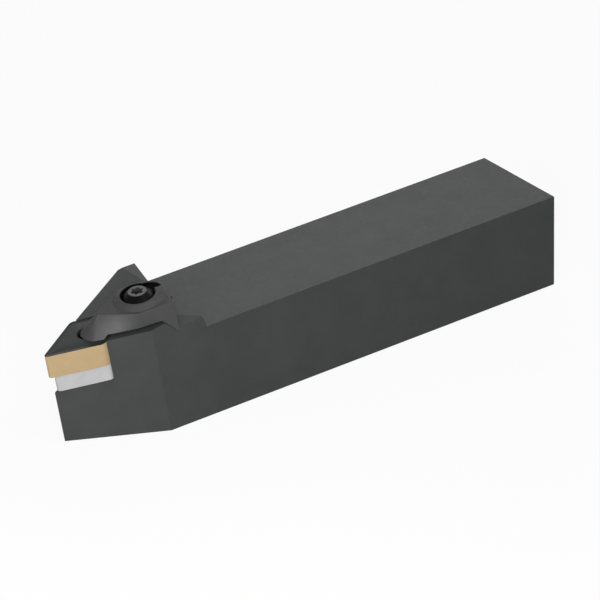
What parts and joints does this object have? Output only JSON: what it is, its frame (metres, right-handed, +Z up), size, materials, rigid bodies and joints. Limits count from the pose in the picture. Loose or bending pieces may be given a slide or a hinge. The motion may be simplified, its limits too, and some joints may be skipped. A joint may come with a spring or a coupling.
{
  "type": "turning tool holder",
  "caption": "Neutral external turning tool holder with a 55 degree rhombic insert held by a top clamp.",
  "frame": {"origin": "on the underside of the shank, halfway along the tool and halfway across the shank", "axes": "+X along the shank to its rear end, the cutting nose at -X, +Y across the shank to the side where the head overhangs, +Z up from the shank's underside to the insert's top face"},
  "size_m": [0.15, 0.0287, 0.037],
  "materials": {
    "holder_steel": "dark phosphated steel, satin",
    "clamp_steel": "hardened steel, satin",
    "screw_steel": "black oxide, satin",
    "carbide_coated": "coated carbide, satin, dark rake faces",
    "carbide_plain": "ground carbide, satin",
    "spring_steel": "drawn spring steel"
  },
  "bodies": {
    "holder": {"holder_body": "holder_steel", "shim": "carbide_plain", "shim_screw": "screw_steel", "insert": "carbide_coated", "clamp_spring": "spring_steel"},
    "clamp": {"clamp": "clamp_steel"},
    "screw": {"clamp_screw": "screw_steel"}
  },
  "joints": [
    {"name": "clamp_lift", "type": "slide", "parent": "holder", "child": "clamp", "axis": [-0.1668, 0, 0.986], "range_m": [0, 0.003], "deforming": ["clamp_spring"]},
    {"name": "screw_turn", "type": "hinge", "parent": "clamp", "child": "screw", "pos_m": [-0.04828, -0.0064, 0.02952], "axis": [-0.1668, 0, 0.986], "range_deg": [0, 1350]}
  ],
  "couplings": [
    {"joint": "screw_turn", "follows": "clamp_lift", "rad_per_m": 7854}
  ]
}
